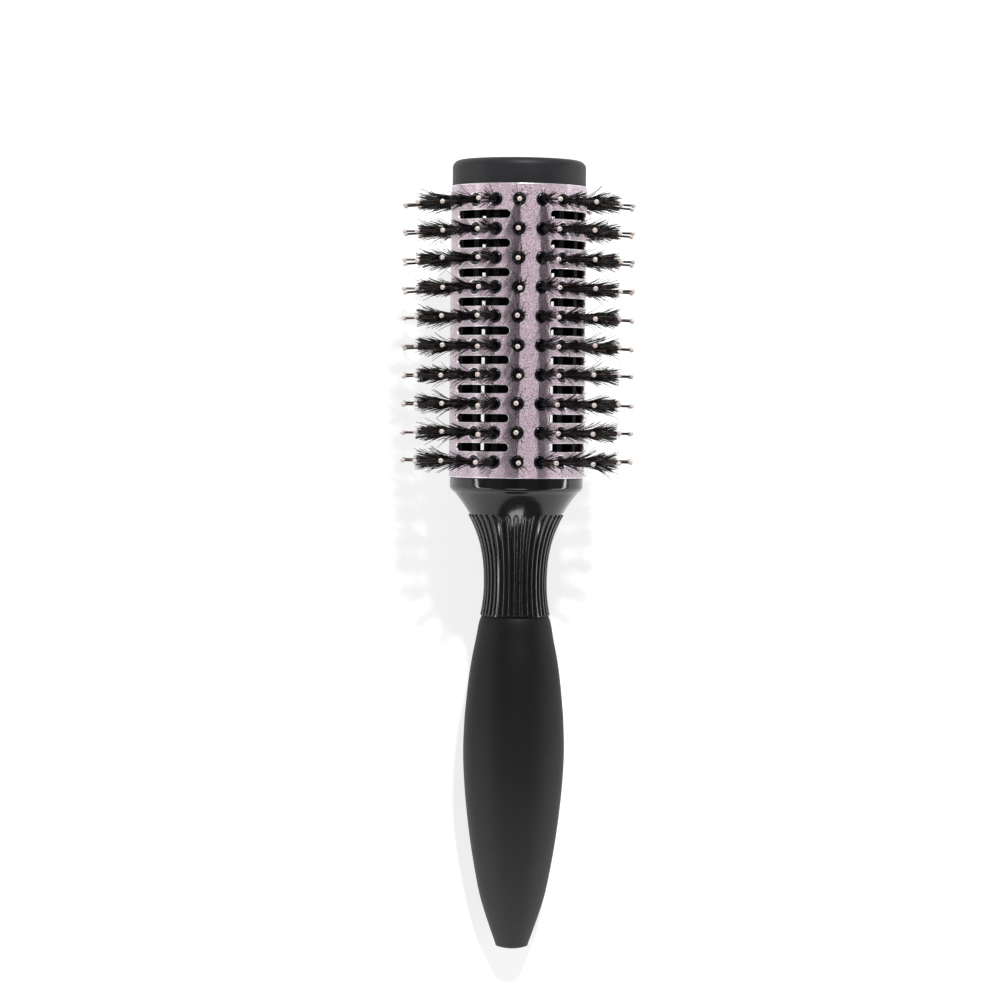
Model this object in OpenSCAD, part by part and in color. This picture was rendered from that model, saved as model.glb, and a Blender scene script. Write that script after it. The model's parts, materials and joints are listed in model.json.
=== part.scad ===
// Vented round hair brush: a punched metal barrel over moulded bristle
// strips, with mixed boar tufts and ball-tipped pins, a ribbed neck and
// a soft-touch handle.
//
// Everything is drawn on the brush's own axis first: z = 0 at the end of
// the barrel next to the neck, +z towards the tip. place() then lays the
// brush down as it comes to rest, on two pins of the row next to the neck
// and on the belly of the handle, with its tip towards +Y.

/* [Barrel] */
// Outside diameter of the metal barrel
barrel_d = 42.0; // [40.6:0.2:43]
// Wall thickness of the barrel
barrel_wall = 0.8; // [0.6:0.1:0.9]
// Distance between two rows of tufts along the barrel
row_pitch = 8.9; // [8.6:0.1:10]
// Distance from each end of the barrel to the nearest row
row_margin = 5.0; // [4.8:0.1:6]
// Diameter of the round holes that the bosses come up through
hole_d = 4.0; // [3.9:0.1:4.4]

/* [Vents] */
// Height of a vent slot, along the barrel
slot_h = 2.5; // [1.6:0.1:2.8]
// Arc that one slot covers, with its round ends, in degrees
slot_arc = 55; // [40:1:60]

/* [Tufts and pins] */
// Length of the boar bristle outside the barrel
boar_l = 11.2; // [8:0.1:12]
// Diameter of a tuft where it leaves its boss
tuft_d = 2.4; // [2:0.1:2.6]
// Diameter of a tuft across its tips
tuft_tip_d = 4.8; // [4.4:0.1:5.2]
// Distance from the barrel's surface to the end of a pin's ball
pin_l = 15.6; // [13.2:0.1:16]
// Diameter of a pin
pin_d = 0.7; // [0.5:0.1:0.9]
// Diameter of the ball on a pin
ball_d = 1.5; // [1.2:0.1:1.8]
// Largest lean of a pin from its tuft's own line, in degrees
pin_lean = 1.8; // [0:0.1:2]
// How far the last row of pins, next to the tip, leans towards the neck
pin_droop = 3.3; // [0:0.1:3.5]

/* [Neck and handle] */
// Radius at the waist of the ribbed neck, over the ribs
waist_r = 9.8; // [9.2:0.05:10.2]
// Length of the neck, from the barrel to the handle
neck_l = 43.3; // [42:0.1:45]
// Height of the ribs on the neck
rib_h = 0.55; // [0.4:0.05:0.8]
// Length of the handle
handle_l = 103.1; // [102.8:0.1:108]
// Scale of the handle's thickness
handle_k = 1.0; // [0.96:0.01:1.06]

/* [Hidden] */

cols = 18;                     // strips round the barrel
rows = 10;                     // tufts on each strip
slots = 4;                     // vents in each ring
step = 360 / cols;

R = barrel_d / 2;              // outside of the barrel
Ri = R - barrel_wall;          // inside of the barrel
L = 2 * row_margin + (rows - 1) * row_pitch;

strip_w = 2.0;                 // width of a strip
strip_t = 1.5;                 // thickness of a strip
Rs = Ri - strip_t;             // inner face of the strips
strip_gap = 2.0;               // from each barrel end to the strips
boss_d = hole_d - 0.2;
bore_floor = R - 1.8;          // bottom of the bore in a boss

spigot_l = 5.6;                // how far cap and neck reach into the barrel
spigot_in = Rs - 2.0;          // inside of the spigots
stub_r = 8.4;                  // centre stubs that hold the core
core_r = 10.2;                 // outside of the core tube
core_top = L - 2.0;            // where the core meets the cap
rail_in = 14.0;                // inner edge of the rails that tie the rings

cap_r = R - 0.3;
cap_l = 8.0;
cap_edge = 2.4;                // rounding of the cap's outer edge
cap_wall = 1.8;

tang_r = 7.5;                  // tang inside the grip
tang_l = 84;
tang_bore = 4.6;
key_h = 1.4;                   // keys that stop the grip turning
key_w = 2.2;
key_l = 62;
groove_r = 10.2;               // groove between neck and handle

ribs = 36;
rib_arc = 5.4;                 // width of a rib at its foot, in degrees
rib_end = neck_l - 0.45;       // lower end of the ribs, below the barrel

// ---------------------------------------------------------------- helpers

// Smooth curve through a list of [x, r] points, at x
function pick(p, x, i = 0) =
  (i >= len(p) - 2 || x < p[i + 1][0]) ? i : pick(p, x, i + 1);
function slope(p, i) =
  i == 0 ? (p[1][1] - p[0][1]) / (p[1][0] - p[0][0])
  : i == len(p) - 1
    ? (p[i][1] - p[i - 1][1]) / (p[i][0] - p[i - 1][0])
    : (p[i + 1][1] - p[i - 1][1]) / (p[i + 1][0] - p[i - 1][0]);
function curve(p, x) =
  let (i = pick(p, x), h = p[i + 1][0] - p[i][0], t = (x - p[i][0]) / h)
    p[i][1] * (2 * t * t * t - 3 * t * t + 1)
    + h * slope(p, i) * (t * t * t - 2 * t * t + t)
    + p[i + 1][1] * (3 * t * t - 2 * t * t * t)
    + h * slope(p, i + 1) * (t * t * t - t * t);

// Handle: distance below its top edge, and radius
HANDLE = [
  [0, 10.6], [2, 11.2], [7, 12.1], [12, 13.1], [17, 13.9], [22, 14.5],
  [27, 15.0], [32, 15.4], [42, 15.7], [52, 15.2], [62, 14.2], [72, 12.8],
  [82, 11.0], [87, 9.9], [92, 8.4], [97, 6.7], [102, 4.9]
];
function handle_r(s) = handle_k * curve(HANDLE, s);
handle_pts = [
  for (s = [0.6, 2, 4, 7, 10, 13, 17, 21, 25, 29, 33, 37, 42, 47, 52, 57, 62,
            67, 72, 77, 82, 85, 88, 91, 94, 97, 100, 102])
    [s, handle_r(s)]
];

// Shoulder and neck outline, over the ribs: distance below the barrel
function neck_r(s) =
  s < 33
    ? waist_r + (cap_r - waist_r) * pow(1 - max(0, s - 3.6) / 29.4, 2.4)
    : waist_r + 0.0112 * pow(s - 33, 2);

// Lean of each pin: a small scatter, the same each time, and a lean towards
// the neck that grows row by row. The two pins that the brush rests on
// stand straight
function swing(a) = a - floor(a);
function noise(i, j, m) =
  2 * swing(sin(i * 127.1 + j * 311.7 + m * 74.7) * 437.58) - 1;
function lean(k, j, m) =
  (j == 0 && (k == 4 || k == 5)) ? 0
  : pin_lean * (noise(k, j, m) * 0.8 + 0.2 * noise(k + 5, j + 9, m + 3))
    + (m == 1 ? pin_droop * j / (rows - 1) : 0);

function row_z(j) = row_margin + j * row_pitch;

// ------------------------------------------------------------- rest pose

// Ball of a resting pin, against each point of the handle's outline
rest_col = step / 2;
ball_c = [row_z(0), (R + pin_l - ball_d / 2) * cos(rest_col)];
tilt = min([
  for (p = handle_pts)
    let (a = ball_c[1] - p[1], b = ball_c[0] + neck_l + p[0])
      atan(a / b) + asin(ball_d / 2 / sqrt(a * a + b * b))
]);
lift = ball_c[1] * cos(tilt) - ball_c[0] * sin(tilt) + ball_d / 2;
reach_tip = (L + cap_l - cap_edge) * cos(tilt)
  + (cap_r - cap_edge) * sin(tilt) + cap_edge;
reach_end = (neck_l + handle_l - 0.45) * cos(tilt)
  + handle_r(102) * 0.7 * sin(tilt);
mid_y = (reach_tip - reach_end) / 2;

module place() {
  translate([0, -mid_y, lift]) rotate([tilt - 90, 0, 0]) children();
}

// A radial feature at column k, distance z along the barrel; the child's
// own +z points straight out from the axis
module at(k, z) {
  rotate([0, 0, k * step]) translate([0, 0, z]) rotate([0, 90, 0])
    rotate([0, 0, 90]) children();
}

// ---------------------------------------------------------------- pieces

module barrel() {
  color([0.76, 0.67, 0.72]) place() difference() {
    rotate_extrude($fn = 144)
      polygon([
        [Ri, 0], [R - 0.2, 0], [R, 0.2], [R, L - 0.2], [R - 0.2, L], [Ri, L]
      ]);
    for (k = [0 : cols - 1], j = [0 : rows - 1])
      at(k, row_z(j)) translate([0, 0, Ri - 2])
        cylinder(h = barrel_wall + 4, d = hole_d, $fn = 48);
    for (q = [0 : slots - 1], j = [0 : rows - 2])
      translate([0, 0, row_z(j) + row_pitch / 2])
        rotate([0, 0, q * 90 + 45]) slot_cutter();
  }
}

module slot_cutter() {
  half = slot_arc / 2 - asin(slot_h / 2 / R);
  rotate([0, 0, -half]) rotate_extrude(angle = 2 * half, $fn = 144)
    translate([Ri - 1.5, -slot_h / 2 + 0.01])
      square([barrel_wall + 3, slot_h - 0.02]);
  for (a = [-half, half])
    rotate([0, 0, a]) translate([Ri - 1.4, 0, 0]) rotate([0, 90, 0])
      cylinder(h = barrel_wall + 2.8, d = slot_h, $fn = 32);
}

module tip_cap() {
  e = cap_edge;
  color([0.09, 0.09, 0.1]) place() rotate_extrude($fn = 144)
    polygon(concat(
      [[0, L + cap_l - cap_wall], [stub_r - cap_wall, L + cap_l - cap_wall],
       [stub_r - cap_wall, L - spigot_l - 2], [stub_r, L - spigot_l - 2],
       [stub_r, core_top], [core_r, core_top],
       [core_r, L + cap_l - cap_wall], [spigot_in, L + cap_l - cap_wall],
       [spigot_in, L - spigot_l], [Rs, L - spigot_l],
       [Rs, L - strip_gap], [Ri, L - strip_gap], [Ri, L],
       [cap_r - 0.2, L], [cap_r, L + 0.2]],
      [for (a = [0 : 15 : 90])
        [cap_r - e + e * cos(a), L + cap_l - e + e * sin(a)]],
      [[0, L + cap_l]]
    ));
}

module core() {
  color([0.1, 0.1, 0.1]) place() {
    difference() {
      union() {
        cylinder(h = core_top, r = core_r, $fn = 96);
        for (j = [1, 3, 6, 8]) translate([0, 0, row_z(j) - 1]) {
          difference() {
            cylinder(h = 2, r = Rs, $fn = 144);
            translate([0, 0, -1]) cylinder(h = 4, r = Rs - 2, $fn = 144);
          }
          for (a = [30 : 60 : 330]) rotate([0, 0, a])
            translate([core_r - 0.8, -0.8, 0.25])
              cube([Rs - core_r - 0.2, 1.6, 1.5]);
        }
        for (a = [20 : 60 : 320]) rotate([0, 0, a])
          translate([rail_in, -0.8, spigot_l + 1])
            cube([Rs - 0.3 - rail_in, 1.6, L - 2 * spigot_l - 2.1]);
      }
      translate([0, 0, -1]) cylinder(h = core_top + 2, r = stub_r, $fn = 96);
    }
  }
}

module strip_shape(k) {
  difference() {
    union() {
      intersection() {
        translate([0, 0, strip_gap]) difference() {
          cylinder(h = L - 2 * strip_gap, r = Ri, $fn = 144);
          translate([0, 0, -1]) cylinder(h = L, r = Rs, $fn = 144);
        }
        rotate([0, 0, k * step])
          translate([Rs - 2, -strip_w / 2, 0]) cube([6, strip_w, L]);
      }
      for (j = [0 : rows - 1])
        at(k, row_z(j)) translate([0, 0, Rs + 0.15]) boss();
    }
    for (j = [0 : rows - 1])
      at(k, row_z(j)) translate([0, 0, bore_floor])
        cylinder(h = 4, d = tuft_d, $fn = 32);
  }
}

// A boss with a softened rim, level with the barrel's surface
module boss() {
  r = boss_d / 2;
  h = R - Rs - 0.15;
  rotate_extrude($fn = 48)
    polygon([
      [0, 0], [r, 0], [r, h - 0.4], [r - 0.12, h - 0.12], [r - 0.4, h], [0, h]
    ]);
}

module bristle_strip(k) {
  color([0.07, 0.07, 0.07]) place() strip_shape(k);
}

// The pin's shaft, leaning from the floor of its bore
module pin_shaft(k, j) {
  translate([0, 0, bore_floor]) rotate([lean(k, j, 1), lean(k, j, 2), 0])
    translate([0, 0, -0.5])
      cylinder(h = pin_l + 1.8 + 0.5 - ball_d / 2, d = pin_d, $fn = 24);
}

module boar_tufts(k) {
  color([0.13, 0.1, 0.09]) place()
    for (j = [0 : rows - 1]) at(k, row_z(j)) difference() {
      translate([0, 0, bore_floor]) rotate_extrude($fn = 32)
        polygon([
          [0, 0], [tuft_d / 2, 0], [tuft_d / 2, 1.8],
          [tuft_tip_d / 2, 1.8 + boar_l - 1.4],
          [tuft_tip_d / 2 - 0.25, 1.8 + boar_l - 0.5],
          [tuft_tip_d / 2 - 0.7, 1.8 + boar_l], [0, 1.8 + boar_l]
        ]);
      pin_shaft(k, j);
    }
}

module nylon_pins(k) {
  color([0.93, 0.9, 0.84]) place()
    for (j = [0 : rows - 1]) at(k, row_z(j)) difference() {
      union() {
        pin_shaft(k, j);
        translate([0, 0, bore_floor]) rotate([lean(k, j, 1), lean(k, j, 2), 0])
          translate([0, 0, pin_l + 1.8 - ball_d / 2]) sphere(d = ball_d, $fn = 24);
      }
      translate([-2, -2, bore_floor - 3]) cube([4, 4, 3]);
    }
}

module tang() {
  translate([0, 0, -neck_l - tang_l]) cylinder(h = tang_l + 2, r = tang_r, $fn = 96);
  translate([-tang_r - key_h, -key_w / 2, -neck_l - key_l])
    cube([2 * (tang_r + key_h), key_w, key_l + 1]);
  translate([-key_w / 2, -tang_r - key_h, -neck_l - key_l])
    cube([key_w, 2 * (tang_r + key_h), key_l + 1]);
}

// Neck surface between the ribs
function foot_r(s) = neck_r(s) - rib_h;
neck_s = [3.6, 5, 7, 9.5, 12, 15, 18, 22, 26, 30, 34, 37, 40, rib_end];

module ribbed_neck() {
  color([0.08, 0.08, 0.09]) place() difference() {
    union() {
      rotate_extrude($fn = 144)
        polygon(concat(
          [[0, 12], [stub_r, 12], [stub_r, 0], [spigot_in, 0],
           [spigot_in, spigot_l], [Rs, spigot_l], [Rs, strip_gap],
           [Ri, strip_gap], [Ri, 0], [cap_r - 0.2, 0], [cap_r, -0.2],
           [cap_r, -3], [cap_r - 0.5, -3.5]],
          [for (s = neck_s) if (s > 4) [foot_r(s), -s]],
          [[groove_r - 0.2, -neck_l + 0.3], [groove_r - 0.2, -neck_l], [0, -neck_l]]
        ));
      for (i = [0 : ribs - 1])
        rotate([0, 0, (i + 0.5) * 360 / ribs - rib_arc / 2])
          rotate_extrude(angle = rib_arc, $fn = 144)
            polygon(concat(
              [[foot_r(12) - 2, -12], [foot_r(12) - 0.1, -12]],
              [for (s = neck_s) if (s > 13) [neck_r(s), -s]],
              [[foot_r(rib_end) - 1.5, -rib_end], [foot_r(30) - 1.5, -30]]
            ));
      tang();
    }
    translate([0, 0, -neck_l - tang_l - 1])
      cylinder(h = neck_l + tang_l - 3, r = tang_bore, $fn = 64);
  }
}

module handle_grip() {
  color([0.17, 0.17, 0.17]) place() difference() {
    translate([0, 0, -neck_l]) rotate_extrude($fn = 144)
      polygon(concat(
        [[0, 0], [handle_r(0) - 0.5, 0]],
        [for (p = handle_pts) [p[1], -p[0]]],
        [[handle_r(102) * 0.96, -handle_l + 0.9],
         [handle_r(102) * 0.7, -handle_l + 0.45],
         [handle_r(102) * 0.35, -handle_l + 0.12], [0, -handle_l]]
      ));
    tang();
  }
}

// ------------------------------------------------------------------ nodes

barrel();
tip_cap();
core();
ribbed_neck();
handle_grip();
bristle_strip(0);  // bristle_strip_01
bristle_strip(1);  // bristle_strip_02
bristle_strip(2);  // bristle_strip_03
bristle_strip(3);  // bristle_strip_04
bristle_strip(4);  // bristle_strip_05
bristle_strip(5);  // bristle_strip_06
bristle_strip(6);  // bristle_strip_07
bristle_strip(7);  // bristle_strip_08
bristle_strip(8);  // bristle_strip_09
bristle_strip(9);  // bristle_strip_10
bristle_strip(10);  // bristle_strip_11
bristle_strip(11);  // bristle_strip_12
bristle_strip(12);  // bristle_strip_13
bristle_strip(13);  // bristle_strip_14
bristle_strip(14);  // bristle_strip_15
bristle_strip(15);  // bristle_strip_16
bristle_strip(16);  // bristle_strip_17
bristle_strip(17);  // bristle_strip_18
boar_tufts(0);  // boar_tufts_01
boar_tufts(1);  // boar_tufts_02
boar_tufts(2);  // boar_tufts_03
boar_tufts(3);  // boar_tufts_04
boar_tufts(4);  // boar_tufts_05
boar_tufts(5);  // boar_tufts_06
boar_tufts(6);  // boar_tufts_07
boar_tufts(7);  // boar_tufts_08
boar_tufts(8);  // boar_tufts_09
boar_tufts(9);  // boar_tufts_10
boar_tufts(10);  // boar_tufts_11
boar_tufts(11);  // boar_tufts_12
boar_tufts(12);  // boar_tufts_13
boar_tufts(13);  // boar_tufts_14
boar_tufts(14);  // boar_tufts_15
boar_tufts(15);  // boar_tufts_16
boar_tufts(16);  // boar_tufts_17
boar_tufts(17);  // boar_tufts_18
nylon_pins(0);  // nylon_pins_01
nylon_pins(1);  // nylon_pins_02
nylon_pins(2);  // nylon_pins_03
nylon_pins(3);  // nylon_pins_04
nylon_pins(4);  // nylon_pins_05
nylon_pins(5);  // nylon_pins_06
nylon_pins(6);  // nylon_pins_07
nylon_pins(7);  // nylon_pins_08
nylon_pins(8);  // nylon_pins_09
nylon_pins(9);  // nylon_pins_10
nylon_pins(10);  // nylon_pins_11
nylon_pins(11);  // nylon_pins_12
nylon_pins(12);  // nylon_pins_13
nylon_pins(13);  // nylon_pins_14
nylon_pins(14);  // nylon_pins_15
nylon_pins(15);  // nylon_pins_16
nylon_pins(16);  // nylon_pins_17
nylon_pins(17);  // nylon_pins_18
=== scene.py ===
import json
import math
import random

import bpy
import numpy as np
from mathutils import Matrix, Vector
from mathutils.geometry import delaunay_2d_cdt

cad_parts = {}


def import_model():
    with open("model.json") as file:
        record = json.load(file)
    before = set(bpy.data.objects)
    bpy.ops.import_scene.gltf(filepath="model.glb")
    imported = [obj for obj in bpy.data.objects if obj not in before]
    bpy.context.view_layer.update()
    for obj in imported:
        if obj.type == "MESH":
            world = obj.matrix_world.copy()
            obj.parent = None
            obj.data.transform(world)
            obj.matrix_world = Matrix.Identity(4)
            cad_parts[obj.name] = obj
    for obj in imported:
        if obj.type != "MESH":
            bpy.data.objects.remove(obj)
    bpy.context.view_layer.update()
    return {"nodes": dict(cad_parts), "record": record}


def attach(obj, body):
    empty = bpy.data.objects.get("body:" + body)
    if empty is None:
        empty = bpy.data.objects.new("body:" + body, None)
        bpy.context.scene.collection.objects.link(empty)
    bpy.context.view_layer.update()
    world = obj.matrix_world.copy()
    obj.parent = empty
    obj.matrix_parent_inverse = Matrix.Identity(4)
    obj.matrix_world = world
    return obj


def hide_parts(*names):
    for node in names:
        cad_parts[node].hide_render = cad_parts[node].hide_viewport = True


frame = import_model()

# ------------------------------------------------------------------ sizes, mm
# The brush's own axis: z = 0 at the barrel's end next to the neck, +z to the tip.
R, WALL, L = 21.0, 0.8, 90.1
RI = R - WALL
RS = RI - 1.5
ROW0, PITCH, ROWS, COLS = 5.0, 8.9, 10, 18
HOLE_R, SLOT_H, SLOT_ARC = 2.0, 2.5, 55.0
BORE_FLOOR = R - 1.8
BOAR_L, TUFT_R, TUFT_TIP_R = 11.2, 1.2, 2.0
PIN_R, BALL_R = 0.35, 0.75
PIN_LEAN, PIN_DROOP, PIN_L = 1.8, 3.3, 15.6
CAP_R, CAP_L, CAP_E, CAP_WALL = R - 0.3, 8.0, 2.4, 1.8
SPIGOT_L, SPIGOT_IN, GAP = 5.6, RS - 2.0, 2.0
CORE_R, STUB_R, CORE_TOP = 10.2, 8.4, L - 2.0
NECK_L, WAIST_R, RIB_H = 43.3, 9.8, 0.55
HANDLE_L, TANG_R, TANG_L, TANG_BORE = 103.1, 7.5, 84.0, 4.6
GROOVE_R = 10.5
RIBS = 36

# ------------------------------------------------------- placement in the frame
tip = frame["record"]["mounts"][0]
AXIS = Vector(tip["axis"]).normalized()
SIDE = Vector((1.0, 0.0, 0.0))
THIRD = AXIS.cross(SIDE).normalized()
ORIGIN = Vector(tip["pos_m"]) - AXIS * (L + CAP_L) * 0.001
TO_WORLD = np.array([SIDE, THIRD, AXIS]).T * 0.001      # columns, mm to m
ORIGIN_NP = np.array(ORIGIN)


def world(p):
    """Points in mm about the brush's axis, to metres in the frame."""
    return np.asarray(p, float) @ TO_WORLD.T + ORIGIN_NP


def world_dir(n):
    n = np.asarray(n, float) @ (TO_WORLD.T * 1000.0)
    return n / np.maximum(np.linalg.norm(n, axis=1, keepdims=True), 1e-12)


# ------------------------------------------------------------------ mesh makers
def new_object(name, verts, faces, normals=None, smooth=True):
    me = bpy.data.meshes.new(name)
    me.from_pydata([tuple(v) for v in verts], [], [tuple(f) for f in faces])
    me.validate(clean_customdata=False)
    me.update()
    if smooth:
        me.polygons.foreach_set("use_smooth", [True] * len(me.polygons))
    if normals is not None:
        me.normals_split_custom_set_from_vertices([tuple(n) for n in normals])
    ob = bpy.data.objects.new(name, me)
    bpy.context.scene.collection.objects.link(ob)
    return ob


def lathe(name, profile, around=160, radius=None, sharp=32.0):
    """A closed revolve. profile runs from axis to axis as (r, z) in mm; radius(r, z, theta) may reshape it."""
    th = np.arange(around) * 2 * math.pi / around
    pts, rings = [], []
    for r, z in profile:
        if r < 1e-6:
            rings.append([len(pts)])
            pts.append((0.0, 0.0, z))
            continue
        rr = np.full(around, r) if radius is None else radius(r, z, th)
        rings.append(list(range(len(pts), len(pts) + around)))
        pts.extend(zip(rr * np.cos(th), rr * np.sin(th), np.full(around, z)))
    faces = []
    for a, b in zip(rings[:-1], rings[1:]):
        for i in range(around):
            j = (i + 1) % around
            if len(a) == 1 and len(b) == 1:
                continue
            if len(a) == 1:
                faces.append((a[0], b[i], b[j]))
            elif len(b) == 1:
                faces.append((a[i], b[0], a[j]))
            else:
                faces.append((a[i], b[i], b[j], a[j]))
    ob = new_object(name, world(pts), faces)
    me = ob.data
    import bmesh
    bm = bmesh.new()
    bm.from_mesh(me)
    bmesh.ops.recalc_face_normals(bm, faces=bm.faces[:])
    for e in bm.edges:
        e.smooth = not (len(e.link_faces) == 2 and e.calc_face_angle(0.0) > math.radians(sharp))
    bm.to_mesh(me)
    bm.free()
    me.update()
    return ob


def arc(cx, cz, r, a0, a1, n):
    return [
        (cx + r * math.cos(math.radians(a0 + (a1 - a0) * i / n)),
         cz + r * math.sin(math.radians(a0 + (a1 - a0) * i / n)))
        for i in range(n + 1)
    ]


# ------------------------------------------------------------------- barrel
def hole_loops():
    """Edge points and outward directions of every hole, on the unrolled sheet (s along the turn, z)."""
    loops = []
    seam = math.radians(10.0)
    for k in range(COLS):
        th = (math.radians(k * 20.0) - seam) % (2 * math.pi)
        for j in range(ROWS):
            c = np.array([R * th, ROW0 + j * PITCH])
            a = np.arange(28) * 2 * math.pi / 28
            n = np.stack([np.cos(a), np.sin(a)], 1)
            loops.append((c + n * HOLE_R, n, c, 0.0))
    h = SLOT_H / 2
    half = R * math.radians(SLOT_ARC / 2) - h
    for q in range(4):
        th = (math.radians(45.0 + 90.0 * q) - seam) % (2 * math.pi)
        for j in range(ROWS - 1):
            c = np.array([R * th, ROW0 + (j + 0.5) * PITCH])
            p, n = [], []
            a = np.linspace(-90, 90, 13)
            for t in a:
                d = np.array([math.cos(math.radians(t)), math.sin(math.radians(t))])
                p.append(c + (half, 0) + d * h)
                n.append(d)
            m = 14
            for i in range(1, m):
                p.append(c + (half - 2 * half * i / m, h))
                n.append(np.array([0.0, 1.0]))
            for t in a:
                d = np.array([-math.cos(math.radians(t)), -math.sin(math.radians(t))])
                p.append(c + (-half, 0) + d * h)
                n.append(d)
            for i in range(1, m):
                p.append(c + (-half + 2 * half * i / m, -h))
                n.append(np.array([0.0, -1.0]))
            loops.append((np.array(p), np.array(n), c, half))
    return loops


def build_barrel():
    width = 2 * math.pi * R
    bevel, end = 0.28, 0.25
    loops = hole_loops()
    pts, edges = [], []
    loop_ids = []
    for p, n, c, half in loops:
        ids = list(range(len(pts), len(pts) + len(p)))
        pts.extend(p + n * bevel)
        loop_ids.append(ids)
        edges.extend(zip(ids, ids[1:] + ids[:1]))
    nx, ny = 120, 84
    xs = np.linspace(0, width, nx + 1)
    ys = np.linspace(end, L - end, ny + 1)
    lo_ids, hi_ids = [], []
    for x in xs:
        lo_ids.append(len(pts)); pts.append((x, ys[0]))
    for x in xs:
        hi_ids.append(len(pts)); pts.append((x, ys[-1]))
    for y in ys[1:-1]:
        pts.append((0.0, y)); pts.append((width, y))
    edges.extend(zip(lo_ids[:-1], lo_ids[1:]))
    edges.extend(zip(hi_ids[:-1], hi_ids[1:]))
    # inner grid, kept clear of the holes' edges
    gx, gy = np.meshgrid(xs[1:-1], ys[1:-1])
    gx = gx + (np.arange(gy.shape[0]) % 2)[:, None] * (xs[1] - xs[0]) * 0.5
    g = np.stack([gx.ravel(), gy.ravel()], 1)
    g = g[g[:, 0] < width - 0.4]
    centres = np.array([c for _, _, c, _ in loops])
    halves = np.array([h for _, _, _, h in loops])
    radii = np.where(halves > 0, SLOT_H / 2, HOLE_R)

    def depth(q):
        """Smallest distance from each point to the edge of a hole; negative inside."""
        best = np.full(len(q), 1e9)
        for c, hf, r in zip(centres, halves, radii):
            d = q - c
            dx = np.maximum(np.abs(d[:, 0]) - hf, 0)
            best = np.minimum(best, np.hypot(dx, d[:, 1]) - r)
        return best

    g = g[depth(g) > bevel + 0.45]
    pts = np.vstack([np.array(pts), g])
    res = delaunay_2d_cdt([Vector(p) for p in pts], [tuple(map(int, e)) for e in edges], [], 0, 1e-7)
    tri = np.array([f for f in res[2] if len(f) == 3])
    out = np.array([tuple(v) for v in res[0]])
    origin = [o[0] if o else -1 for o in res[3]]
    mid = out[tri].mean(axis=1)
    tri = tri[depth(mid) > bevel - 0.018]
    where = {o: i for i, o in enumerate(origin) if o >= 0}

    n_sheet = len(out)
    inner = out.copy()
    verts, norms = [], []

    def put(s, z, r):
        th = s / R + math.radians(10.0)
        return np.stack([r * np.cos(th), r * np.sin(th), z + 0 * th], 1)

    def radial(s, sign=1.0):
        th = s / R + math.radians(10.0)
        return np.stack([sign * np.cos(th), sign * np.sin(th), 0 * th], 1)

    def turned(s, d, a):
        """Normal at angle a on a rounded edge whose hole lies towards -d on the sheet."""
        th = s / R + math.radians(10.0)
        rad = np.stack([np.cos(th), np.sin(th), 0 * th], 1)
        tan = np.stack([-np.sin(th), np.cos(th), 0 * th], 1)
        up = np.array([[0.0, 0.0, 1.0]])
        flat = tan * d[:, :1] + up * d[:, 1:]
        return rad * math.cos(a) - flat * math.sin(a)

    rims = []
    for (p, n, c, half), ids in zip(loops, loop_ids):
        ids = [where[i] for i in ids]
        inner[ids] = p
        rims.append((ids, p, n, bevel, True))
    low, high = [where[i] for i in lo_ids], [where[i] for i in hi_ids]
    low_p, high_p = out[low].copy(), out[high].copy()
    low_p[:, 1], high_p[:, 1] = 0.0, L
    inner[low], inner[high] = low_p, high_p
    rims.append((low, low_p, np.tile([[0.0, 1.0]], (len(low), 1)), end, False))
    rims.append((high, high_p, np.tile([[0.0, -1.0]], (len(high), 1)), end, False))

    verts.append(put(out[:, 0], out[:, 1], R)); norms.append(radial(out[:, 0]))
    verts.append(put(inner[:, 0], inner[:, 1], RI)); norms.append(radial(inner[:, 0], -1.0))
    faces = [tuple(t) for t in tri] + [tuple(t[::-1] + n_sheet) for t in tri]
    rim_faces = set()
    base = 2 * n_sheet
    for ids, p, n, b, closed in rims:
        rings = [list(ids)]
        for a in (30, 60, 90):
            t = math.radians(a)
            q = p + n * b * (1 - math.sin(t))
            verts.append(put(q[:, 0], q[:, 1], R - b * (1 - math.cos(t))))
            norms.append(turned(q[:, 0], n, t))
            rings.append(list(range(base, base + len(p))))
            base += len(p)
        # a second line at the foot keeps the wall's own shading
        verts.append(put(p[:, 0], p[:, 1], RI + 0.02))
        norms.append(turned(p[:, 0], n, math.radians(90)))
        rings.append(list(range(base, base + len(p))))
        base += len(p)
        rings.append([i + n_sheet for i in ids])
        count = len(p)
        for step, (u, v) in enumerate(zip(rings[:-1], rings[1:])):
            for i in range(count if closed else count - 1):
                j = (i + 1) % count
                if step < 3:
                    rim_faces.add(len(faces))
                faces.append((u[i], v[i], v[j], u[j]))
    verts = np.vstack(verts)
    norms = np.vstack(norms)
    # join the seam: points that fall together become one
    key = np.round(verts * 1e4).astype(np.int64)
    seen, remap, keep = {}, np.zeros(len(verts), int), []
    for i, kk in enumerate(map(tuple, key)):
        if kk not in seen:
            seen[kk] = len(keep)
            keep.append(i)
        remap[i] = seen[kk]
    verts, norms = verts[keep], norms[keep]
    clean, slots = [], []
    for at, f in enumerate(faces):
        g = []
        for i in f:
            r = int(remap[i])
            if not g or g[-1] != r:
                g.append(r)
        if len(g) > 1 and g[0] == g[-1]:
            g.pop()
        if len(g) >= 3:
            clean.append(g)
            slots.append(1 if at in rim_faces else 0)
    # the same way round everywhere, by the wanted normals
    P = verts
    fixed = []
    for f in clean:
        a, b, c = P[f[0]], P[f[1]], P[f[2]]
        nn = np.cross(b - a, c - a)
        want = norms[f[0]] + norms[f[1]] + norms[f[2]]
        fixed.append(f if nn @ want >= 0 else f[::-1])
    ob = new_object("barrel_shell", world(verts), fixed, world_dir(norms))
    if len(ob.data.polygons) == len(slots):
        ob.data.polygons.foreach_set("material_index", slots)
    return ob


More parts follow.
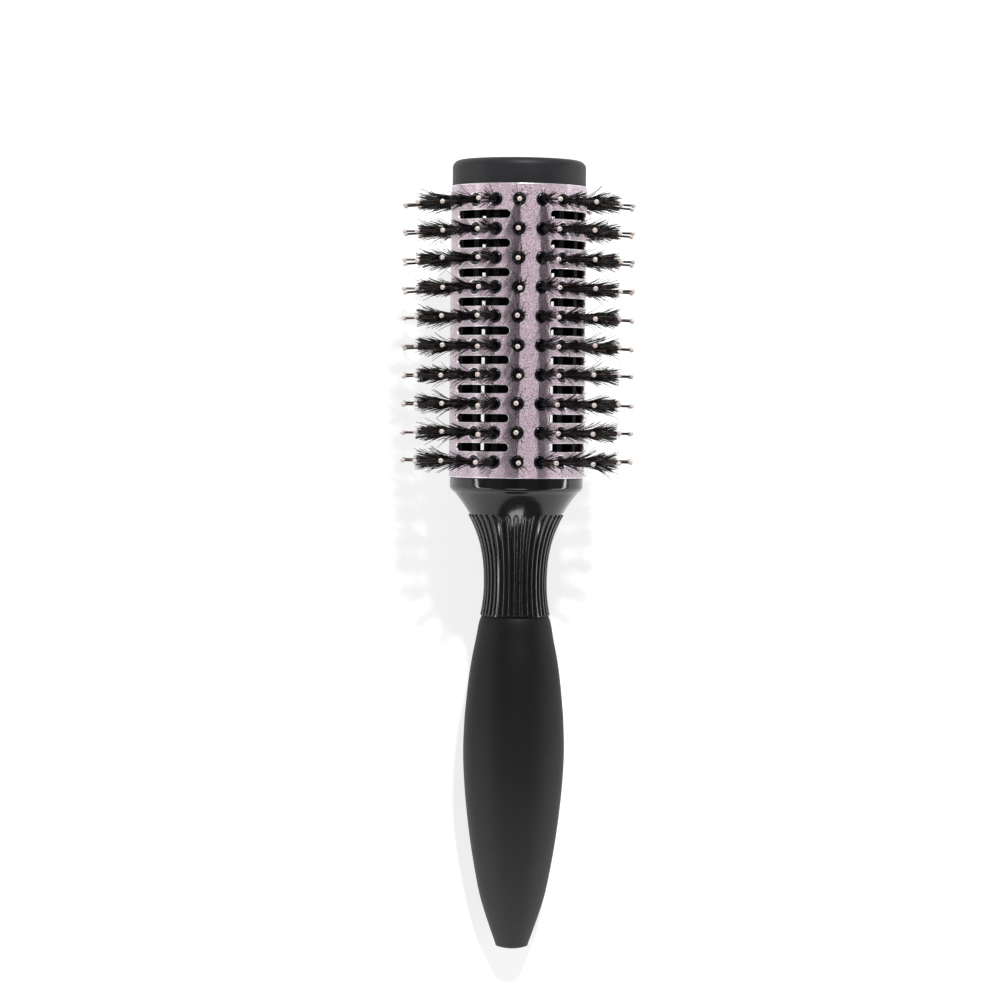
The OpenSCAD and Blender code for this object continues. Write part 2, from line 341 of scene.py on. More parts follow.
# --------------------------------------------------------------- neck and handle
HANDLE = [
    (0, 10.6), (2, 11.2), (7, 12.1), (12, 13.1), (17, 13.9), (22, 14.5),
    (27, 15.0), (32, 15.4), (42, 15.7), (52, 15.2), (62, 14.2), (72, 12.8),
    (82, 11.0), (87, 9.9), (92, 8.4), (97, 6.7), (102, 4.9),
]


def handle_r(x):
    p = HANDLE
    i = 0
    while i < len(p) - 2 and x >= p[i + 1][0]:
        i += 1

    def slope(k):
        a, b = max(k - 1, 0), min(k + 1, len(p) - 1)
        return (p[b][1] - p[a][1]) / (p[b][0] - p[a][0])
    h = p[i + 1][0] - p[i][0]
    t = (x - p[i][0]) / h
    return (p[i][1] * (2 * t ** 3 - 3 * t ** 2 + 1) + h * slope(i) * (t ** 3 - 2 * t ** 2 + t)
            + p[i + 1][1] * (3 * t ** 2 - 2 * t ** 3) + h * slope(i + 1) * (t ** 3 - t ** 2))


def neck_r(s):
    if s < 33:
        return WAIST_R + (CAP_R - WAIST_R) * (1 - max(0.0, s - 3.6) / 29.4) ** 2.4
    return WAIST_R + 0.0112 * (s - 33) ** 2


RIB_TOP, RIB_END = 11.5, 42.9


def rib_radius(r, z, th):
    """The neck's surface: thirty-six rounded ribs with round ends on a smooth waist."""
    s = -z
    if r < 0 or s < RIB_TOP - 0.2 or s > RIB_END + 0.05 or abs(r - (neck_r(s) - RIB_H)) > 0.02:
        return np.full(len(th), r)
    pitch = 2 * math.pi / RIBS
    u = (((th / pitch) + 0.5) % 1.0 - 0.5) * pitch * r       # mm from the rib's middle
    half = 0.34 * pitch * r
    down = min(half, 0.62)
    if s > RIB_END - down:
        half = half * math.sqrt(max(0.0, 1 - ((s - (RIB_END - down)) / down) ** 2))
    if s < RIB_TOP + 3 * down:
        half = half * math.sqrt(max(0.0, 1 - ((RIB_TOP + 3 * down - s) / (3 * down)) ** 2))
    if half < 1e-4:
        return np.full(len(th), r)
    q = np.clip(np.abs(u) / half, 0, 1)
    shape = (1 - q ** 2.6) ** 0.55
    fade = 1.0
    if s > RIB_END - 0.35:
        fade = math.sqrt(max(0.0, (RIB_END - s) / 0.35))
    return r + RIB_H * shape * fade


def build_neck():
    prof = [(0, 12.0), (STUB_R - 0.3, 12.0)] + arc(STUB_R - 0.3, 11.7, 0.3, 90, 0, 3)[1:]
    prof += [(STUB_R, 0.0), (SPIGOT_IN, 0.0), (SPIGOT_IN, SPIGOT_L), (RS, SPIGOT_L),
             (RS, GAP), (RI, GAP), (RI, 0.0), (CAP_R - 0.25, 0.0)]
    prof += arc(CAP_R - 0.25, -0.25, 0.25, 90, 0, 4)[1:]
    prof += [(CAP_R, -2.6)]
    foot = []
    s = 3.9
    while s < RIB_TOP:
        foot.append((neck_r(s) - RIB_H * min(1.0, (s - 3.2) / 1.6), -s))
        s += 0.35
    prof += arc(CAP_R - 0.6, -2.9, 0.6, 0, -42, 4)[1:]
    rows = list(np.linspace(RIB_TOP, RIB_TOP + 2.2, 14)) + list(np.linspace(RIB_TOP + 2.6, RIB_END - 1.0, 40))
    rows += list(np.linspace(RIB_END - 0.9, RIB_END + 0.04, 20))
    foot += [(neck_r(v) - RIB_H, -v) for v in rows]
    prof += foot
    prof += [(GROOVE_R, -NECK_L + 0.3), (GROOVE_R, -NECK_L), (TANG_R, -NECK_L),
             (TANG_R, -NECK_L - TANG_L), (TANG_BORE, -NECK_L - TANG_L), (TANG_BORE, -4.5), (0, -4.5)]
    ob = lathe("neck", prof, around=RIBS * 16, radius=rib_radius, sharp=50.0)
    # the groove and the hidden faces below it take the second material, which is darker as painted shade in the groove
    slots = np.repeat([1 if b[1] < -RIB_END - 0.05 and b[0] > 0 else 0 for a, b in zip(prof[:-1], prof[1:])], RIBS * 16)
    ob.data.polygons.foreach_set("material_index", slots.tolist())
    return ob


def build_grip():
    top = -NECK_L
    r0 = handle_r(0.0)
    prof = [(0, top - TANG_L), (TANG_R, top - TANG_L), (TANG_R, top), (r0 - 0.3, top)]
    prof += arc(r0 - 0.3, top - 0.33, 0.33, 90, 15, 5)[1:]
    x = 0.5
    while x < 101.6:
        prof.append((handle_r(x) + 0.14 * min(1.0, max(0.0, (x - 40.0) / 40.0)), top - x))
        x += 0.9 if 3 < x < 92 else 0.4
    re = handle_r(101.9) + 0.12
    end = -NECK_L - HANDLE_L - 0.25
    prof += [(re, end + 1.25), (re - 0.07, end + 1.02), (re - 0.3, end + 0.84)]
    for i in range(1, 11):
        t = i / 10
        prof.append(((re - 0.3) * (1 - t), end + 0.84 * (1 - t) ** 2))
    return lathe("grip", prof, around=160, sharp=60.0)


def build_cap():
    top = L + CAP_L
    prof = [(0, top - CAP_WALL), (STUB_R - CAP_WALL, top - CAP_WALL), (STUB_R - CAP_WALL, L - SPIGOT_L - 2),
            (STUB_R - 0.3, L - SPIGOT_L - 2)]
    prof += arc(STUB_R - 0.3, L - SPIGOT_L - 1.7, 0.3, -90, 0, 3)[1:]
    prof += [(STUB_R, CORE_TOP), (CORE_R, CORE_TOP), (CORE_R, top - CAP_WALL), (SPIGOT_IN, top - CAP_WALL),
             (SPIGOT_IN, L - SPIGOT_L), (RS, L - SPIGOT_L), (RS, L - GAP), (RI, L - GAP), (RI, L),
             (CAP_R - 0.25, L)]
    prof += arc(CAP_R - 0.25, L + 0.25, 0.25, -90, 0, 4)[1:]
    prof += [(CAP_R, L + 3.0)]
    prof += arc(CAP_R - CAP_E, top - CAP_E, CAP_E, 0, 90, 14)
    prof += [(12.0, top), (6.0, top), (0, top)]
    return lathe("end_cap", prof, around=160, sharp=45.0)


def build_strip(k):
    """One bristle strip: a curved runner inside the barrel and ten round bosses with softened rims."""
    a = math.radians(k * 20.0)
    out = np.array([math.cos(a), math.sin(a), 0.0])
    tan = np.array([-math.sin(a), math.cos(a), 0.0])
    up = np.array([0.0, 0.0, 1.0])
    verts, faces, slots = [], [], []
    # runner: an arc-shaped bar, closed at both ends
    w, rows_ = 1.0, [GAP, L - GAP]
    ring = []
    for r, side in ((RS, 1), (RI, -1)):
        for i in range(5):
            x = side * (-w + 2 * w * i / 4)
            ring.append((math.sqrt(r * r - x * x), x))
    for z in rows_:
        for r, x in ring:
            verts.append(out * r + tan * x + up * z)
    n = len(ring)
    for i in range(n):
        j = (i + 1) % n
        faces.append((i, j, n + j, n + i)); slots.append(1)
    faces.append(tuple(reversed(range(n)))); slots.append(1)
    faces.append(tuple(range(n, 2 * n))); slots.append(1)
    # bosses: the outside, the softened rim, the top and the bore
    m, b0 = 36, HOLE_R - 0.1
    prof = [(0.0, RS + 0.15), (b0, RS + 0.15), (b0, R - 0.42), (b0 - 0.05, R - 0.22), (b0 - 0.17, R - 0.08), (b0 - 0.34, R - 0.01),
            (b0 - 0.5, R), (TUFT_R + 0.12, R), (TUFT_R + 0.03, R - 0.03), (TUFT_R, R - 0.12), (TUFT_R, BORE_FLOOR), (0.0, BORE_FLOOR)]
    for j in range(ROWS):
        z = ROW0 + j * PITCH
        base, last = len(verts), None
        for r, h in prof:
            if r == 0.0:
                ids = [len(verts)]
                verts.append(out * h + up * z)
            else:
                ids = list(range(len(verts), len(verts) + m))
                for i in range(m):
                    t = 2 * math.pi * i / m
                    verts.append(out * h + tan * (r * math.cos(t)) + up * (z + r * math.sin(t)))
            if last is not None:
                for i in range(m):
                    i2 = (i + 1) % m
                    if len(last) == 1:
                        faces.append((last[0], ids[i2], ids[i]))
                    elif len(ids) == 1:
                        faces.append((last[i], last[i2], ids[0]))
                    else:
                        faces.append((last[i], last[i2], ids[i2], ids[i]))
                    slots.append(0)
            last = ids
    ob = new_object("strip_%02d" % (k + 1), world(verts), faces)
    me = ob.data
    me.polygons.foreach_set("material_index", slots)
    import bmesh
    bm = bmesh.new()
    bm.from_mesh(me)
    bmesh.ops.recalc_face_normals(bm, faces=bm.faces[:])
    for e in bm.edges:
        e.smooth = not (len(e.link_faces) == 2 and e.calc_face_angle(0.0) > math.radians(50))
    bm.to_mesh(me)
    bm.free()
    me.update()
    return ob


# ------------------------------------------------------------------- bristles
CORE_HAIRS, LOOSE_HAIRS = 40, 15


def build_tufts(k):
    """Ten tufts of one strip, each hair its own tapered strand: a tight middle and looser strands round it."""
    rng = random.Random(4100 + k)
    a = math.radians(k * 20.0)
    out = np.array([math.cos(a), math.sin(a), 0.0])
    tan = np.array([-math.sin(a), math.cos(a), 0.0])
    up = np.array([0.0, 0.0, 1.0])
    verts, faces, tone = [], [], []
    segs, sides = 5, 3
    for j in range(ROWS):
        z = ROW0 + j * PITCH
        bend = rng.gauss(0, 0.25), rng.gauss(0, 0.25)
        for h in range(CORE_HAIRS + LOOSE_HAIRS):
            loose = h >= CORE_HAIRS
            rho = 0.40 + 0.44 * rng.random() ** 0.8
            phi = rng.uniform(0, 2 * math.pi)
            d = np.array([math.cos(phi), math.sin(phi)])
            root = d * rho
            if loose:
                length = BOAR_L * rng.uniform(0.6, 1.0)
                end = d * (1.5 + 2.0 * rng.random() ** 0.8) + np.array([rng.gauss(0, 0.4), rng.gauss(0, 0.4)]) + bend
                if rng.random() < 0.25:
                    end = end + d * rng.uniform(0.6, 1.8)
                side = np.array([rng.gauss(0, 0.18), rng.gauss(0, 0.18)])
                thick = rng.uniform(0.12, 0.16)
                late, thin = 1.0, 0.3
            else:
                length = BOAR_L * rng.uniform(0.78, 1.0)
                end = d * (0.45 + 2.0 * rng.random() ** 0.8) + np.array([rng.gauss(0, 0.3), rng.gauss(0, 0.3)]) + bend
                side = np.array([rng.gauss(0, 0.08), rng.gauss(0, 0.08)])
                thick = rng.uniform(0.11, 0.145)
                late, thin = 1.2, 0.3
            # a random tone for each strand; the lightest few are partly painted highlight
            tone_and_glint = rng.random()
            spin = rng.uniform(0, 2 * math.pi)
            base = len(verts)
            for i in range(segs + 1):
                t = i / segs
                lat = root + (end - root) * ((1 - late) * t + late * t * t) + side * math.sin(math.pi * t)
                q = out * (BORE_FLOOR + 0.1 + (1.7 + length) * t) + tan * lat[0] + up * (z + lat[1])
                r = thick * (1 - thin * t ** 2)
                for m in range(sides):
                    w = spin + 2 * math.pi * m / sides
                    verts.append(q + (tan * math.cos(w) + up * math.sin(w)) * r)
                    tone.append((tone_and_glint, t, 0.0, 1.0))
            for i in range(segs):
                for m in range(sides):
                    n = (m + 1) % sides
                    faces.append((base + i * sides + m, base + i * sides + n,
                                  base + (i + 1) * sides + n, base + (i + 1) * sides + m))
            faces.append(tuple(base + m for m in reversed(range(sides))))
            faces.append(tuple(base + segs * sides + m for m in range(sides)))
    ob = new_object("boar_hair_%02d" % (k + 1), world(verts), faces)
    att = ob.data.color_attributes.new("hair", "FLOAT_COLOR", "POINT")
    att.data.foreach_set("color", np.array(tone, np.float32).ravel())
    return ob


def swing(a):
    return a - math.floor(a)


def noise(i, j, m):
    return 2 * swing(math.sin(math.radians(i * 127.1 + j * 311.7 + m * 74.7)) * 437.58) - 1


def lean(k, j, m):
    """The same lean as the pins of the CAD model, in degrees."""
    if j == 0 and k in (4, 5):
        return 0.0
    drop = PIN_DROOP * j / (ROWS - 1) if m == 1 else 0.0
    return drop + PIN_LEAN * (noise(k, j, m) * 0.8 + 0.2 * noise(k + 5, j + 9, m + 3))


def build_pins(k):
    """Ten pins of one strip: a slim shaft and a moulded ball with the shaft's end just showing in it."""
    a = math.radians(k * 20.0)
    out = np.array([math.cos(a), math.sin(a), 0.0])
    tan = np.array([-math.sin(a), math.cos(a), 0.0])
    up = np.array([0.0, 0.0, 1.0])
    verts, faces, slots = [], [], []
    m = 20
    prof = [(0.0, 0.0, 0), (PIN_R, 0.0, 0), (PIN_R, 4.0, 0), (PIN_R, 9.0, 0)]
    top = PIN_L + 1.8
    c = top - BALL_R
    foot = math.asin(PIN_R / BALL_R)
    prof.append((PIN_R, c - BALL_R * math.cos(foot), 0))
    n = 12
    for i in range(1, n):
        t = foot + (math.pi - foot) * i / n
        prof.append((BALL_R * math.sin(t), c - BALL_R * math.cos(t), 1))
    prof += [(0.17, top - 0.02, 1), (0.15, top - 0.05, 0), (0.0, top - 0.05, 0)]
    for j in range(ROWS):
        z = ROW0 + j * PITCH
        ax, ay = math.radians(lean(k, j, 1)), math.radians(lean(k, j, 2))
        d = tan * (math.cos(ax) * math.sin(ay)) - up * math.sin(ax) + out * (math.cos(ax) * math.cos(ay))
        e = np.cross(up, d)
        e /= np.linalg.norm(e)
        f = np.cross(d, e)
        foot_at = out * BORE_FLOOR + up * z
        last = None
        for r, h, slot in prof:
            if r == 0.0:
                ids = [len(verts)]
                verts.append(foot_at + d * h)
            else:
                ids = list(range(len(verts), len(verts) + m))
                for i in range(m):
                    t = 2 * math.pi * i / m
                    verts.append(foot_at + d * h + e * (r * math.cos(t)) + f * (r * math.sin(t)))
            if last is not None:
                for i in range(m):
                    i2 = (i + 1) % m
                    if len(last) == 1:
                        faces.append((last[0], ids[i2], ids[i]))
                    elif len(ids) == 1:
                        faces.append((last[i], last[i2], ids[0]))
                    else:
                        faces.append((last[i], last[i2], ids[i2], ids[i]))
                    slots.append(slot)
            last = ids
    ob = new_object("pins_%02d" % (k + 1), world(verts), faces)
    me = ob.data
    me.polygons.foreach_set("material_index", slots)
    import bmesh
    bm = bmesh.new()
    bm.from_mesh(me)
    bmesh.ops.recalc_face_normals(bm, faces=bm.faces[:])
    for edge in bm.edges:
        edge.smooth = not (len(edge.link_faces) == 2 and edge.calc_face_angle(0.0) > math.radians(55))
    bm.to_mesh(me)
    bm.free()
    me.update()
    return ob


# ------------------------------------------------------------------ materials
def material(name):
    m = bpy.data.materials.new(name)
    m.use_nodes = True
    nt = m.node_tree
    nt.nodes.clear()
    out = nt.nodes.new("ShaderNodeOutputMaterial")
    bsdf = nt.nodes.new("ShaderNodeBsdfPrincipled")
    nt.links.new(bsdf.outputs["BSDF"], out.inputs["Surface"])
    return m, nt, bsdf


def node(nt, kind, **vals):
    n = nt.nodes.new(kind)
    for k, v in vals.items():
        if hasattr(n, k) and k not in n.inputs:
            setattr(n, k, v)
        else:
            n.inputs[k].default_value = v
    return n


def tex_noise(nt, co, scale, detail=4.0, rough=0.55, distortion=0.0):
    n = nt.nodes.new("ShaderNodeTexNoise")
    n.inputs["Scale"].default_value = scale
    n.inputs["Detail"].default_value = detail
    n.inputs["Roughness"].default_value = rough
    n.inputs["Distortion"].default_value = distortion
    nt.links.new(co, n.inputs["Vector"])
    return n.outputs["Fac"]


def ramp(nt, fac, stops, mode="LINEAR"):
    n = nt.nodes.new("ShaderNodeValToRGB")
    n.color_ramp.interpolation = mode
    el = n.color_ramp.elements
    while len(el) > 1:
        el.remove(el[-1])
    el[0].position, el[0].color = stops[0][0], stops[0][1]
    for p, c in stops[1:]:
        e = el.new(p)
        e.color = c
    nt.links.new(fac, n.inputs["Fac"])
    return n.outputs["Color"]


def grey(v):
    return (v, v, v, 1.0)


def remap(nt, fac, a, b, c, d):
    n = nt.nodes.new("ShaderNodeMapRange")
    n.inputs["From Min"].default_value = a
    n.inputs["From Max"].default_value = b
    n.inputs["To Min"].default_value = c
    n.inputs["To Max"].default_value = d
    nt.links.new(fac, n.inputs["Value"])
    return n.outputs["Result"]


def math_node(nt, op, a, b=None):
    n = nt.nodes.new("ShaderNodeMath")
    n.operation = op
    for i, v in enumerate((a, b)):
        if v is None:
            continue
        if isinstance(v, (int, float)):
            n.inputs[i].default_value = v
        else:
            nt.links.new(v, n.inputs[i])
    return n.outputs[0]


def mix(nt, fac, a, b, blend="MIX"):
    n = nt.nodes.new("ShaderNodeMix")
    n.data_type = "RGBA"
    n.blend_type = blend
    if isinstance(fac, (int, float)):
        n.inputs[0].default_value = fac
    else:
        nt.links.new(fac, n.inputs[0])
    for i, v in ((6, a), (7, b)):
        if isinstance(v, tuple):
            n.inputs[i].default_value = v
        else:
            nt.links.new(v, n.inputs[i])
    return n.outputs[2]


def bump(nt, bsdf, height, strength, distance):
    n = nt.nodes.new("ShaderNodeBump")
    n.inputs["Strength"].default_value = strength
    n.inputs["Distance"].default_value = distance
    nt.links.new(height, n.inputs["Height"])
    nt.links.new(n.outputs["Normal"], bsdf.inputs["Normal"])
    return n


def object_co(nt):
    return nt.nodes.new("ShaderNodeTexCoord").outputs["Object"]


def axis_distance(nt, co):
    """Distance from the brush's axis, in mm."""
    sub = nt.nodes.new("ShaderNodeVectorMath")
    sub.operation = "SUBTRACT"
    sub.inputs[1].default_value = tuple(ORIGIN)
    nt.links.new(co, sub.inputs[0])
    cr = nt.nodes.new("ShaderNodeVectorMath")
    cr.operation = "CROSS_PRODUCT"
    cr.inputs[1].default_value = tuple(AXIS)
    nt.links.new(sub.outputs[0], cr.inputs[0])
    ln = nt.nodes.new("ShaderNodeVectorMath")
    ln.operation = "LENGTH"
    nt.links.new(cr.outputs[0], ln.inputs[0])
    return math_node(nt, "MULTIPLY", ln.outputs["Value"], 1000.0)


def axis_height(nt, co):
    """Distance along the brush's axis, in mm, up towards the tip."""
    sub = nt.nodes.new("ShaderNodeVectorMath")
    sub.operation = "SUBTRACT"
    sub.inputs[1].default_value = tuple(ORIGIN)
    nt.links.new(co, sub.inputs[0])
    dot = nt.nodes.new("ShaderNodeVectorMath")
    dot.operation = "DOT_PRODUCT"
    dot.inputs[1].default_value = tuple(AXIS * 1000.0)
    nt.links.new(sub.outputs[0], dot.inputs[0])
    return dot.outputs["Value"]


def barrel_paint():
    m, nt, b = material("lilac_pearl")
    co = object_co(nt)
    fine = tex_noise(nt, co, 3000.0, 1.0, 0.6)
    flake = nt.nodes.new("ShaderNodeTexVoronoi")
    flake.feature = "F1"
    flake.inputs["Scale"].default_value = 3600.0
    nt.links.new(co, flake.inputs["Vector"])
    broad = tex_noise(nt, co, 90.0, 3.0)
    tint = ramp(nt, fine, [(0.28, (0.235, 0.170, 0.207, 1)), (0.50, (0.545, 0.430, 0.490, 1)), (0.72, (0.87, 0.74, 0.80, 1))])
    pearl = ramp(nt, flake.outputs["Color"], [(0.0, (0.62, 0.56, 0.62, 1)), (0.5, (1.0, 0.97, 0.99, 1)), (1.0, (1.3, 1.25, 1.28, 1))])
    col = mix(nt, 0.55, tint, pearl, "MULTIPLY")
    wide = ramp(nt, broad, [(0.35, (0.93, 0.93, 0.95, 1)), (0.65, (1.0, 0.99, 1.0, 1))])
    col = mix(nt, 0.6, col, wide, "MULTIPLY")
    # painted shade: the inside of the tube is made near black, for the shade inside it seen through the vents
    dist = axis_distance(nt, co)
    inside = remap(nt, dist, RI + 0.12, RI + 0.35, 1.0, 0.0)
    painted_shade_inside = (0.02, 0.018, 0.02, 1)
    col = mix(nt, inside, col, painted_shade_inside)
    nt.links.new(col, b.inputs["Base Color"])
    b.inputs["Metallic"].default_value = 0.15
    rough = remap(nt, fine, 0.3, 0.7, 0.33, 0.47)
    nt.links.new(rough, b.inputs["Roughness"])
    b.inputs["Coat Weight"].default_value = 0.4
    b.inputs["Coat Roughness"].default_value = 0.16
    bump(nt, b, fine, 0.5, 0.00008)
    return m


def barrel_edge():
    m, nt, b = material("barrel_edge")
    n = tex_noise(nt, object_co(nt), 2400.0, 3.0)
    nt.links.new(ramp(nt, n, [(0.3, (0.78, 0.72, 0.75, 1)), (0.7, (0.92, 0.88, 0.90, 1))]), b.inputs["Base Color"])
    nt.links.new(remap(nt, n, 0.3, 0.7, 0.26, 0.36), b.inputs["Roughness"])
    b.inputs["Metallic"].default_value = 0.7
    return m


def satin_plastic(name, colour, rough, grain=1800.0, strength=0.25, coat=0.0, specular=0.5):
    m, nt, b = material(name)
    co = object_co(nt)
    fine = tex_noise(nt, co, grain, 4.0, 0.6)
    broad = tex_noise(nt, co, 60.0, 4.0)
    c = np.array(colour)
    col = ramp(nt, broad, [(0.3, tuple(c * 0.85) + (1,)), (0.7, tuple(c * 1.2) + (1,))])
    nt.links.new(col, b.inputs["Base Color"])
    r = remap(nt, fine, 0.3, 0.7, rough - 0.05, rough + 0.07)
    nt.links.new(r, b.inputs["Roughness"])
    b.inputs["Specular IOR Level"].default_value = specular
    if coat:
        b.inputs["Coat Weight"].default_value = coat
        b.inputs["Coat Roughness"].default_value = 0.1
    bump(nt, b, fine, strength, 0.00005)
    return m


def soft_touch():
    m, nt, b = material("soft_touch_black")
    co = object_co(nt)
    fine = tex_noise(nt, co, 3200.0, 5.0, 0.65)
    broad = tex_noise(nt, co, 28.0, 5.0)
    # painted light: the base colour grows lighter towards the end of the handle, where more light falls, and stays
    # darkest by the neck
    lit_end_mask = remap(nt, axis_height(nt, co), -NECK_L - 100.0, -NECK_L - 10.0, 1.0, 0.0)
    grip_black = ramp(nt, broad, [(0.3, (0.0028, 0.0028, 0.0029, 1)), (0.7, (0.0040, 0.0040, 0.0041, 1))])
    painted_light_end = ramp(nt, broad, [(0.3, (0.038, 0.038, 0.0385, 1)), (0.7, (0.044, 0.044, 0.0445, 1))])
    nt.links.new(mix(nt, math_node(nt, "POWER", lit_end_mask, 1.6), grip_black, painted_light_end), b.inputs["Base Color"])
    nt.links.new(remap(nt, broad, 0.3, 0.7, 0.54, 0.62), b.inputs["Roughness"])
    b.inputs["Specular IOR Level"].default_value = 0.18
    bump(nt, b, fine, 0.3, 0.00004)
    return m


def boar_hair():
    m, nt, b = material("boar_hair")
    att = nt.nodes.new("ShaderNodeAttribute")
    att.attribute_name = "hair"
    sep = nt.nodes.new("ShaderNodeSeparateColor")
    nt.links.new(att.outputs["Color"], sep.inputs[0])
    # the hairs' own dark tone; the lightest tenth is partly their own mixed tone and partly a painted highlight for
    # glints on the strands
    tone_and_glint = ramp(nt, sep.outputs[0], [(0.0, (0.0020, 0.0013, 0.0016, 1)), (0.7, (0.0040, 0.0026, 0.0031, 1)),
                                      (0.9, (0.011, 0.007, 0.008, 1)), (1.0, (0.080, 0.056, 0.056, 1))])
    tipc = ramp(nt, sep.outputs[1], [(0.0, (0.7, 0.7, 0.7, 1)), (0.6, (1, 1, 1, 1)), (1.0, (1.5, 1.35, 1.3, 1))])
    col = mix(nt, 1.0, tone_and_glint, tipc, "MULTIPLY")
    nt.links.new(col, b.inputs["Base Color"])
    fine = tex_noise(nt, object_co(nt), 5200.0, 2.0)
    nt.links.new(remap(nt, fine, 0.3, 0.7, 0.24, 0.36), b.inputs["Roughness"])
    b.inputs["Specular IOR Level"].default_value = 0.32
    return m


def ball_nylon():
    m, nt, b = material("cream_ball")
    co = object_co(nt)
    n = tex_noise(nt, co, 900.0, 3.0)
    nt.links.new(ramp(nt, n, [(0.3, (0.56, 0.47, 0.43, 1)), (0.7, (0.70, 0.61, 0.57, 1))]), b.inputs["Base Color"])
    nt.links.new(remap(nt, n, 0.3, 0.7, 0.16, 0.24), b.inputs["Roughness"])
    b.inputs["Subsurface Weight"].default_value = 0.2
    b.inputs["Subsurface Radius"].default_value = (0.0008, 0.0006, 0.0004)
    bump(nt, b, n, 0.15, 0.00004)
    return m


def set_material(ob, *mats):
    if len(ob.data.materials):
        ob.data.materials.clear()
    for m in mats:
        ob.data.materials.append(m)


MAT = {
    "barrel": barrel_paint(),
    "cap": satin_plastic("cap_satin_black", (0.018, 0.018, 0.020), 0.5, 2200.0, 0.2, specular=0.2),
    # painted shade: the core is darker than its black plastic, for the shade inside the barrel seen through the vents
    "core": satin_plastic("core_painted_shade", (0.0015, 0.0015, 0.0015), 0.6, specular=0.1),
    "strip": satin_plastic("boss_black", (0.0035, 0.0033, 0.0036), 0.24, 2400.0, 0.1),
    # painted shade: the runners, of the same plastic as the bosses, are made darker for the shade inside the barrel
    "runner": satin_plastic("runner_painted_shade", (0.0015, 0.0014, 0.0015), 0.6, specular=0.1),
    "edge": barrel_edge(),
    # painted shade: the groove between neck and grip is darker than the neck's own black
    "groove": satin_plastic("groove_painted_shade", (0.002, 0.002, 0.002), 0.6, specular=0.1),
    "neck": satin_plastic("neck_gloss_black", (0.005, 0.005, 0.005), 0.11, 1500.0, 0.03),
    "grip": soft_touch(),
    "hair": boar_hair(),
    "shaft": satin_plastic("dark_nylon", (0.014, 0.011, 0.011), 0.3, 2400.0, 0.1),
    "ball": ball_nylon(),
}

# ---------------------------------------------------------------------- pieces
barrel = build_barrel()
set_material(barrel, MAT["barrel"], MAT["edge"])
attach(barrel, "root")
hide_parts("barrel")

neck = build_neck()
set_material(neck, MAT["neck"], MAT["groove"])
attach(neck, "root")
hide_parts("ribbed_neck")

grip = build_grip()
set_material(grip, MAT["grip"])
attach(grip, "root")
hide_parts("handle_grip")

cap = build_cap()
set_material(cap, MAT["cap"])
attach(cap, "root")
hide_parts("tip_cap")

for k in range(COLS):
    hair = build_tufts(k)
    set_material(hair, MAT["hair"])
    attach(hair, "root")
    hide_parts("boar_tufts_%02d" % (k + 1))

    strip = build_strip(k)
    set_material(strip, MAT["strip"], MAT["runner"])
    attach(strip, "root")
    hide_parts("bristle_strip_%02d" % (k + 1))

    pins = build_pins(k)
    set_material(pins, MAT["shaft"], MAT["ball"])
    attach(pins, "root")
    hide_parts("nylon_pins_%02d" % (k + 1))

# the core carries painted shade for the inside of the barrel
set_material(frame["nodes"]["core"], MAT["core"])

# ----------------------------------------------------------------------- stage
floor_me = bpy.data.meshes.new("floor")
floor_me.from_pydata([(-3, -3, 0), (3, -3, 0), (3, 3, 0), (-3, 3, 0)], [], [(0, 1, 2, 3)])
floor = bpy.data.objects.new("floor", floor_me)
floor.location = (0, 0, -0.0001)
bpy.context.scene.collection.objects.link(floor)
fm, fnt, fb = material("floor_pale")
fn = tex_noise(fnt, object_co(fnt), 3.0, 2.0)
fnt.links.new(ramp(fnt, fn, [(0.3, grey(0.40)), (0.7, grey(0.42))]), fb.inputs["Base Color"])
fb.inputs["Roughness"].default_value = 0.8
fb.inputs["Specular IOR Level"].default_value = 0.1
fb.inputs["Emission Color"].default_value = (1, 1, 1, 1)
fb.inputs["Emission Strength"].default_value = 0.74
floor_me.materials.append(fm)

# -------------------------------------------------------------------- lighting
FACING = math.radians(260.0)          # the column that looks straight at the camera
N = np.array([math.cos(FACING), math.sin(FACING), 0.0])
OUT = Vector(world_dir([N])[0])       # towards the camera
UP = AXIS.copy()
RIGHT = UP.cross(OUT).normalized()    # image right


def area(name, where, target, size, power, colour=(1, 1, 1)):
    d = bpy.data.lights.new(name, "AREA")
    d.shape = "RECTANGLE"
    d.size, d.size_y = size
    d.energy = power
    d.color = colour
    ob = bpy.data.objects.new(name, d)
    ob.location = where
    ob.rotation_euler = (Vector(target) - Vector(where)).to_track_quat("-Z", "Y").to_euler()
    bpy.context.scene.collection.objects.link(ob)
    return ob


target = ORIGIN + AXIS * 0.02
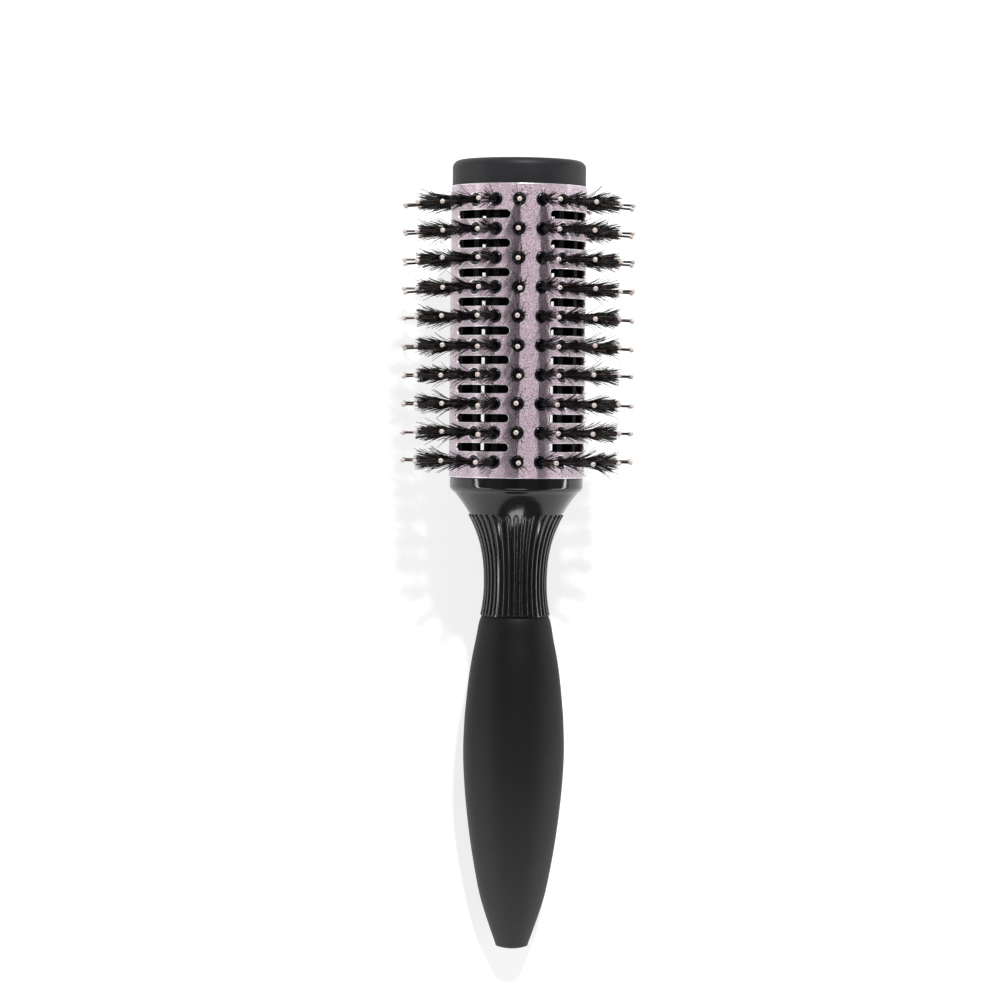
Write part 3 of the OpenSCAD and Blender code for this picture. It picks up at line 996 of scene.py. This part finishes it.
# the key comes from beyond the tip, a little to the right, and throws each tuft's shadow down its column
area("key", target + (UP * 0.74 + OUT * 0.66 + RIGHT * 0.15) * 1.2, target, (0.07, 0.07), 16.3)
area("low_end", target + (OUT * 0.5 - UP * 0.87) * 1.3, target, (0.6, 0.3), 3.2)
area("side_left", (-0.60, -0.16, 0.13), (0, -0.04, 0.03), (0.9, 0.05), 2.0)
area("side_right", (0.60, -0.16, 0.13), (0, -0.04, 0.03), (0.9, 0.05), 2.0)

w = bpy.data.worlds.new("studio")
bpy.context.scene.world = w
w.use_nodes = True
wn = w.node_tree
wn.nodes.clear()
wo = wn.nodes.new("ShaderNodeOutputWorld")
bg = wn.nodes.new("ShaderNodeBackground")
wn.links.new(bg.outputs[0], wo.inputs[0])
tc = wn.nodes.new("ShaderNodeTexCoord")
sp = wn.nodes.new("ShaderNodeSeparateXYZ")
wn.links.new(tc.outputs["Generated"], sp.inputs[0])
wn.links.new(ramp(wn, sp.outputs["Z"], [(0.0, grey(0.3)), (0.3, grey(0.45)), (0.5, grey(0.5)), (0.8, grey(0.36)), (1.0, grey(0.3))]), bg.inputs["Color"])
bg.inputs["Strength"].default_value = 0.45

# ---------------------------------------------------------------------- camera
eye = ORIGIN + OUT * 1.120 + AXIS * 0.020 - RIGHT * 0.005
pitch, roll = math.radians(-1.384), math.radians(0.58)
ahead = AXIS * math.sin(pitch) - OUT * math.cos(pitch)
img_up = RIGHT.cross(ahead)
img_right = RIGHT * math.cos(roll) + img_up * math.sin(roll)
img_up = img_up * math.cos(roll) - RIGHT * math.sin(roll)
cam_d = bpy.data.cameras.new("camera")
cam_d.sensor_width = 36.0
cam_d.sensor_fit = "HORIZONTAL"
cam_d.lens = 129.84
cam_d.clip_start, cam_d.clip_end = 0.01, 20.0
cam = bpy.data.objects.new("camera", cam_d)
bpy.context.scene.collection.objects.link(cam)
rot = Matrix((img_right, img_up, -ahead)).transposed()
cam.matrix_world = Matrix.Translation(eye) @ rot.to_4x4()
bpy.context.scene.camera = cam

bpy.context.scene.view_settings.view_transform = "Standard"
bpy.context.scene.view_settings.look = "None"
bpy.context.scene.view_settings.exposure = 0.0
